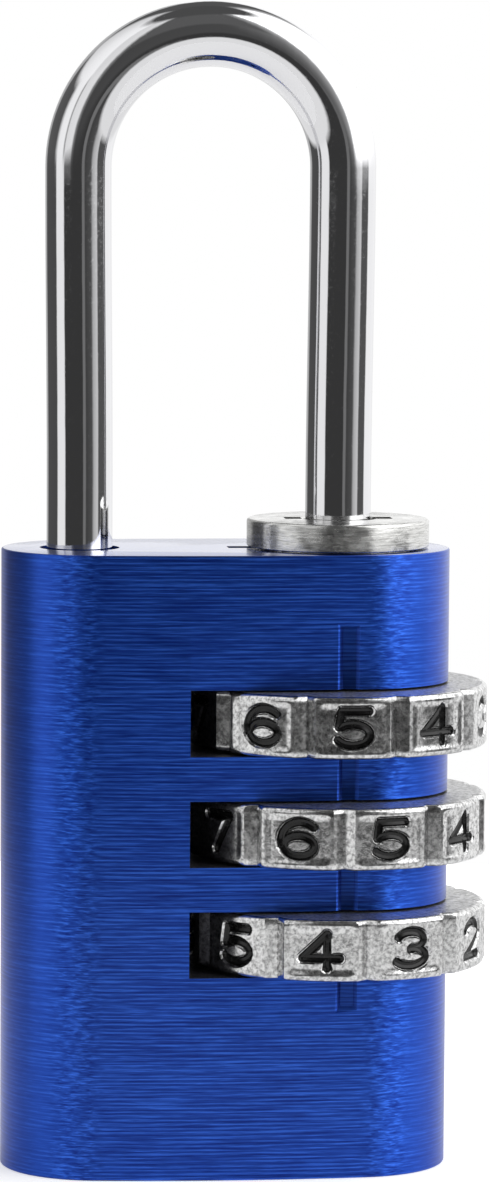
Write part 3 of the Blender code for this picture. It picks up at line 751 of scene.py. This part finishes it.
def in_field(degrees, height):
    """1 in the sunken field that holds a number, 0 on the border round it."""
    across = 1 - smooth_step(*FIELD_SIDE_DEG, abs(degrees))
    start, end = (DIAL_HEIGHT / 2 - border for border in FIELD_BORDER)
    return across * (1 - smooth_step(start, end, abs(height)))


def dial_radius(degrees, height):
    """How far the dial's skin lies from its axis."""
    valley = VALLEY_DEPTH * max(0.0, 1 - (DIVISION_DEG / 2 - abs(degrees)) / VALLEY_HALF_DEG)
    over = max(abs(height) - (DIAL_HEIGHT / 2 - RIM_ROUND), 0.0)
    rim = RIM_ROUND - math.sqrt(max(RIM_ROUND ** 2 - over ** 2, 0.0))
    return DIAL_RADIUS - valley - FIELD_DEPTH * in_field(degrees, height) - rim


def dial_heights():
    """Heights of the rings of vertices, closer together in the rounded rims."""
    flat = DIAL_HEIGHT / 2 - RIM_ROUND
    rims = [flat + RIM_ROUND * math.sin(math.pi / 2 * step / RIM_STEPS) for step in range(1, RIM_STEPS + 1)]
    middle = [-flat + 2 * flat * step / UPWARD for step in range(UPWARD + 1)]
    return [-h for h in reversed(rims)] + middle + rims


print("a dial's skin has", len(dial_heights()), "rings of", AROUND, "vertices")

# %% [markdown]
# ## The numbers
#
# The mould was engraved with a ball cutter, so each number is a groove of even width that follows the
# middle lines of its strokes. The strokes are written in a square from -1 to 1, wrapped on the dial and given
# a round section. A wide shallow pass leaves the bright lip, and a narrow deep pass makes the channel for
# the paint.

# %% Write the numbers' strokes
DIGIT_HALF_WIDTH = 1.26 * MM
DIGIT_HALF_HEIGHT = 1.12 * MM
ARC_STEPS = 16
LINE_STEPS = 6
SAME_POINT = 0.001


def arc(middle_x, middle_y, radius_x, radius_y, start_deg, end_deg):
    """Points along part of an ellipse."""
    sweep = end_deg - start_deg
    turns = [math.radians(start_deg + sweep * step / ARC_STEPS) for step in range(ARC_STEPS + 1)]
    return [(middle_x + radius_x * math.cos(t), middle_y + radius_y * math.sin(t)) for t in turns]


def straight(start, end):
    """Points along a line, close enough together to wrap round a dial."""
    width, height = end[0] - start[0], end[1] - start[1]
    return [(start[0] + width * step / LINE_STEPS, start[1] + height * step / LINE_STEPS)
            for step in range(LINE_STEPS + 1)]


SIX = [arc(0.08, -0.4, 0.86, 0.6, 0, 360), arc(0.16, -0.08, 1.08, 1.08, 48, 196)]
STROKES = {
    0: [arc(0, 0, 0.84, 1, 0, 360)],
    1: [straight((-0.45, 0.5), (0.1, 1)), straight((0.1, 1), (0.1, -1))],
    2: [arc(0, 0.42, 0.85, 0.58, 165, -32), straight((0.72, 0.11), (-0.85, -1)),
        straight((-0.85, -1), (0.9, -1))],
    3: [arc(-0.05, 0.5, 0.82, 0.5, 155, -90), arc(-0.05, -0.48, 0.95, 0.52, 90, -152)],
    4: [straight((0.32, -1), (0.32, 1)), straight((0.32, 1), (-1, -0.42)), straight((-1, -0.42), (1, -0.42))],
    5: [straight((0.85, 1), (-0.62, 1)), straight((-0.62, 1), (-0.76, 0.08)),
        arc(0, -0.38, 0.93, 0.62, 142, -150)],
    6: SIX,
    7: [straight((-0.9, 1), (0.85, 1)), straight((0.85, 1), (-0.2, -1))],
    8: [arc(0, 0.5, 0.74, 0.5, 0, 360), arc(0, -0.48, 0.9, 0.52, 0, 360)],
    9: [[(-x, -y) for x, y in stroke] for stroke in SIX],
}
MOST_STROKES = max(len(strokes) for strokes in STROKES.values())
ENDS_APART = 0.55       # ends closer than this get one ball between them
BALL_FIT = 0.995        # a ball a hair smaller than the channel shares no surface with it


def is_closed(stroke):
    return math.dist(stroke[0], stroke[-1]) < SAME_POINT


def on_skin(face_deg, point, ride_radius):
    """A point of a number's square, wrapped on the dial at a face's angle."""
    angle = math.radians(face_deg - 90) + point[0] * DIGIT_HALF_WIDTH / DIAL_RADIUS
    return Vector((ride_radius * math.cos(angle), ride_radius * math.sin(angle),
                   point[1] * DIGIT_HALF_HEIGHT))


def cutter_path(placed_strokes, cutter_radius, height_over_skin, material):
    """The space a ball cutter sweeps along some strokes, each given with its face's angle, as a mesh."""
    curve = bpy.data.curves.new("cutter_path", "CURVE")
    curve.dimensions = "3D"
    curve.bevel_depth = cutter_radius
    curve.bevel_resolution = 3
    curve.use_fill_caps = True
    ride_radius = DIAL_RADIUS - FIELD_DEPTH + height_over_skin
    for face_deg, stroke in placed_strokes:
        points = stroke[:-1] if is_closed(stroke) else stroke
        spline = curve.splines.new("POLY")
        spline.points.add(len(points) - 1)
        spline.use_cyclic_u = is_closed(stroke)
        for spline_point, point in zip(spline.points, points):
            spline_point.co = (*on_skin(face_deg, point, ride_radius), 1)
    path = bpy.data.objects.new("cutter_path", curve)
    bpy.context.scene.collection.objects.link(path)
    bpy.context.view_layer.update()
    mesh = bpy.data.meshes.new_from_object(path.evaluated_get(bpy.context.evaluated_depsgraph_get()))
    bpy.data.objects.remove(path)
    bm = bmesh.new()
    bm.from_mesh(mesh)
    bmesh.ops.remove_doubles(bm, verts=bm.verts, dist=WELD)
    return to_object("cutter_path", bm, material)


def cutter_balls(placed_ends, cutter_radius, height_over_skin, material):
    """The ball cutter itself, where it starts and stops, which rounds every end and corner."""
    bm = bmesh.new()
    for face_deg, point in placed_ends:
        place = on_skin(face_deg, point, DIAL_RADIUS - FIELD_DEPTH + height_over_skin)
        bmesh.ops.create_uvsphere(bm, u_segments=12, v_segments=8, radius=cutter_radius * BALL_FIT,
                                  matrix=Matrix.Translation(place))
    return to_object("cutter_balls", bm, material)


def stroke_ends(strokes):
    """The ends of open strokes, each place once."""
    ends = []
    for stroke in strokes:
        for point in (stroke[0], stroke[-1]):
            if not is_closed(stroke) and all(math.dist(point, other) > ENDS_APART for other in ends):
                ends.append(point)
    return ends


def engrave(dial, front_digit, cutter_radius, height_over_skin, material):
    """Cut all ten numbers. Strokes that cross each other are cut one after another."""
    digits = [(face * DIVISION_DEG, STROKES[(front_digit - face) % 10]) for face in range(DIVISIONS)]
    for turn in range(MOST_STROKES):
        placed = [(face_deg, strokes[turn]) for face_deg, strokes in digits if turn < len(strokes)]
        carve(dial, cutter_path(placed, cutter_radius, height_over_skin, material))
    ends = [(face_deg, end) for face_deg, strokes in digits for end in stroke_ends(strokes)]
    carve(dial, cutter_balls(ends, cutter_radius, height_over_skin, material))


# %% Cast and engrave the dials
LIP_CUTTER = 0.50 * MM
LIP_HEIGHT = 0.26 * MM
PAINT_CUTTER = 0.31 * MM
PAINT_HEIGHT = -0.04 * MM
FIELD_AT = 1        # places in the dials' list of materials
SIDE_AT = 3


def dial_blank(name):
    """A dial before its numbers are cut, standing on the origin with a number face to the front."""
    bm = bmesh.new()
    heights = dial_heights()
    ring = bmesh.ops.create_circle(bm, cap_ends=False, segments=AROUND, radius=DIAL_RADIUS)["verts"]
    bmesh.ops.translate(bm, verts=ring, vec=(0, 0, heights[0]))
    bottom_edges = edges = bm.edges[:]
    for one, other in zip(heights, heights[1:]):
        drawn = bmesh.ops.extrude_edge_only(bm, edges=edges)["geom"]
        edges = [g for g in drawn if isinstance(g, bmesh.types.BMEdge)]
        bmesh.ops.translate(bm, verts=[g for g in drawn if isinstance(g, bmesh.types.BMVert)],
                            vec=(0, 0, other - one))
    for vertex in bm.verts:
        vertex.co.xy = vertex.co.xy.normalized() * dial_radius(angle_from_face(vertex.co), vertex.co.z)
    bore_edges = []
    for rim_edges in (bottom_edges, edges):
        drawn = bmesh.ops.extrude_edge_only(bm, edges=rim_edges)["geom"]
        inner = [g for g in drawn if isinstance(g, bmesh.types.BMVert)]
        for vertex in inner:
            vertex.co.xy = vertex.co.xy.normalized() * BORE_RADIUS
        bore_edges += [g for g in drawn if isinstance(g, bmesh.types.BMEdge)
                       and g.verts[0] in inner and g.verts[1] in inner]
    bmesh.ops.bridge_loops(bm, edges=bore_edges)
    for face in bm.faces:
        middle = face.calc_center_median()
        if abs(middle.z) > DIAL_HEIGHT / 2 - NEAR:
            face.material_index = SIDE_AT
        if middle.xy.length > DIAL_RADIUS - MM and in_field(angle_from_face(middle), middle.z) > 0.3:
            face.material_index = FIELD_AT
    return to_object(name, bm, ZINC, ZINC_FIELD, ENAMEL, ZINC_SIDE)


def make_dial(index):
    node = DIAL_NODES[index]
    dial = dial_blank("number_" + node)
    engrave(dial, FRONT_DIGITS[index], LIP_CUTTER, LIP_HEIGHT, ZINC)
    engrave(dial, FRONT_DIGITS[index], PAINT_CUTTER, PAINT_HEIGHT, ENAMEL)
    remove_slivers(dial)
    dial.data.transform(Matrix.Translation((AXIS_X, 0, DIAL_MIDDLES[index]))
                        @ Matrix.Rotation(math.radians(DIAL_TURNS[index]), 4, "Z"))
    finish_piece(dial, node + "_body", "chromed_zinc", node)


for index in range(len(DIAL_NODES)):
    make_dial(index)

# %% [markdown]
# ## The reset spring
#
# This compression spring stands under the washer and holds the code sleeves up, in mesh with the dials. A
# small circle for the wire is spun round the axis and lifted a little at each step, which winds a coil. When
# the sleeves are pushed down to set a new code, the real spring shortens by as much.

# %% Wind the reset spring
SPRING_WIRE = 0.3 * MM
SPRING_COIL = 4.4 * MM
SPRING_TURNS = 5
TURN_STEPS = 36
WIRE_SIDES = 12
spring_low, spring_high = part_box("reset_spring")
SPRING_HEIGHT = spring_high.z - spring_low.z


def make_reset_spring():
    bm = bmesh.new()
    foot_z = spring_low.z + SPRING_WIRE
    rise = SPRING_HEIGHT - 2 * SPRING_WIRE
    steps = SPRING_TURNS * TURN_STEPS
    start = Matrix.Translation((AXIS_X + SPRING_COIL, 0, foot_z)) @ Matrix.Rotation(math.pi / 2, 4, "X")
    section = bmesh.ops.create_circle(bm, cap_ends=False, segments=WIRE_SIDES, radius=SPRING_WIRE,
                                      matrix=start)["verts"]
    first = list({edge for vertex in section for edge in vertex.link_edges})
    spun = bmesh.ops.spin(bm, geom=section + first, cent=(AXIS_X, 0, 0), axis=(0, 0, 1),
                          dvec=(0, 0, rise / steps), angle=math.tau * SPRING_TURNS, steps=steps,
                          use_merge=False, use_duplicate=False)
    last = [g for g in spun["geom_last"] if isinstance(g, bmesh.types.BMEdge)]
    for rim in (first, last):
        bmesh.ops.contextual_create(bm, geom=rim)
    spring = to_object("reset_spring_coil", bm, WIRE)
    finish_piece(spring, "block", "spring_steel", "reset_spring", crease_deg=60)
    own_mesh(spring)


make_reset_spring()

# %% [markdown]
# ## The works inside
#
# The sleeves, the other springs, washer, ring, pin and balls keep their solids, whose shapes are right. They
# only need their metals.

# %% Dress the works
INNER_METALS = {
    BRASS: ["spacer_tube", "code_sleeve_1", "code_sleeve_2", "code_sleeve_3"],
    WIRE: ["lift_spring", "detent_spring_1", "detent_spring_2", "detent_spring_3", "reset_washer", "end_ring",
           "collar_pin"],
    BALL: ["detent_ball_1", "detent_ball_2", "detent_ball_3"],
}
for metal, nodes in INNER_METALS.items():
    for node in nodes:
        inner = frame["nodes"][node]
        inner.data.materials.clear()
        inner.data.materials.append(metal)
        print(node, "is", metal.name)

# %% [markdown]
# ## The studio
#
# Polished metal shows the room and little else, so the room is chosen by what it draws on the shackle: a
# tall white strip at the left, a dark room in front, two soft panels at the right with a gap between them,
# and a dark ceiling. Lamps could stand there, but the lock needs light from everywhere, so the room is
# painted on the world as bands of brightness, one over another. Each band lists its brightness by compass
# angle, from the front.

# %% Paint the room
LOW_WALLS = [(-180, 0.6), (-150, 0.5), (-143, 0.09), (-89, 0.08), (-85, 1.0), (-57, 1.0), (-54, 0.045),
             (7, 0.045), (9, 0.2), (16, 0.2), (19, 0.06), (40, 0.09), (47, 0.5), (62, 0.7), (66, 0.1),
             (92, 0.1), (96, 1.1), (141, 1.1), (146, 1.0), (180, 1.0)]
MIDDLE_WALLS = [(-180, 0.6), (-150, 0.45), (-144, 0.12), (-98, 0.1), (-84, 1.05), (-64, 1.1), (-59, 0.3),
                (-55, 0.9), (-34, 0.95), (-29, 0.25), (-22, 0.07), (8, 0.08), (20, 0.18), (33, 0.4),
                (42, 2.5), (84, 2.5), (98, 1.6), (112, 1.45), (140, 1.3), (150, 1.2), (180, 1.1)]
HIGH_WALLS = [(-180, 0.1), (-156, 0.1), (-145, 0.8), (-100, 1.05), (-62, 1.15), (-54, 0.85), (-34, 0.9),
              (-26, 0.12), (22, 0.12), (31, 0.5), (37, 2.2), (132, 2.0), (146, 0.5), (156, 0.11), (180, 0.1)]
CEILING = [(-180, 0.085), (180, 0.085)]
FLOOR_LEVEL = 0.92
BANDS = [(LOW_WALLS, -13, 2), (MIDDLE_WALLS, 2, 3), (HIGH_WALLS, 33, 3), (CEILING, 69, 3)]


def grey(level):
    return (level, level, level, 1.0)


def build_world():
    """The room's bands, each from its elevation upwards, and plain white where the camera sees the room."""
    world = bpy.data.worlds.new("studio")
    bpy.context.scene.world = world
    world.use_nodes = True
    tree = world.node_tree
    tree.nodes.clear()
    direction = add(tree, "TexCoord").outputs["Generated"]
    parts = add(tree, "SeparateXYZ", Vector=direction)
    forward = add(tree, "Math", {"operation": "MULTIPLY"}, _0=parts.outputs["Y"], _1=-1.0)
    azimuth = add(tree, "Math", {"operation": "ARCTAN2"}, _0=parts.outputs["X"], _1=forward)
    turned_part = add(tree, "MapRange", _0=azimuth, _1=-math.pi, _2=math.pi, _3=0.0, _4=1.0)
    room = grey(FLOOR_LEVEL)
    for walls, elevation, soft in BANDS:
        band = add(tree, "ValToRGB", _0=turned_part,
                   stops=[(0.5 + degrees / 360, grey(level)) for degrees, level in walls])
        low, high = (math.sin(math.radians(elevation + side * soft)) for side in (-1, 1))
        share = add(tree, "MapRange", _0=parts.outputs["Z"], _1=low, _2=high, _3=0.0, _4=1.0)
        room = add(tree, "Mix", {"data_type": "RGBA"}, _0=share, _6=room, _7=band)
    seen = add(tree, "LightPath").outputs["Is Camera Ray"]
    mixed = add(tree, "Mix", {"data_type": "RGBA"}, _0=seen, _6=room, _7=grey(1.0))
    background = add(tree, "Background", Color=mixed, Strength=1.0)
    add(tree, "OutputWorld", Surface=background)


build_world()
print("the room's walls are drawn with", sum(len(walls) for walls, _, _ in BANDS), "levels")

# %% [markdown]
# ## The floor
#
# The lock stands on a plain pale floor. It glows faintly, which keeps the shadows soft, and less where a
# piece mirrors it, so that the undersides of the dials stay dark. Its glow is weaker towards the middle,
# painted shade round the lock's foot, and grows outwards so that the floor's edge meets the white room.

# %% Lay the floor
FLOOR_RADIUS = 140 * MM
FLOOR_DROP = 0.01 * MM      # keeps the floor and the block's underside from sharing one plane


def build_floor():
    bm = bmesh.new()
    bmesh.ops.create_circle(bm, cap_ends=True, segments=96, radius=FLOOR_RADIUS,
                            matrix=Matrix.Translation((0, 0, -FLOOR_DROP)))
    material, tree, place = new_material("pale_floor")
    mirrored = add(tree, "LightPath").outputs["Is Glossy Ray"]
    reach = add(tree, "VectorMath", {"operation": "LENGTH"}, _0=place).outputs["Value"]
    # Painted shade: the glow is weaker near the middle, round the lock, and stronger towards the floor's edge.
    glow_dimmed_near_middle = add(tree, "MapRange", _0=reach, _1=20 * MM, _2=110 * MM, _3=0.5, _4=0.85)
    glow = add(tree, "Mix", {"data_type": "FLOAT"}, _0=mirrored, _2=glow_dimmed_near_middle, _3=0.3)
    shader = add(tree, "BsdfPrincipled", Base_Color=linear("E8E8E8"), Roughness=0.9,
                 Specular_IOR_Level=0.0, Emission_Color=linear("FFFFFF"), Emission_Strength=glow)
    add(tree, "OutputMaterial", Surface=shader)
    floor = to_object("floor", bm, material)


build_floor()
bpy.context.scene.view_settings.view_transform = "Standard"
print("the floor is", round(2 * FLOOR_RADIUS / MM), "mm across")
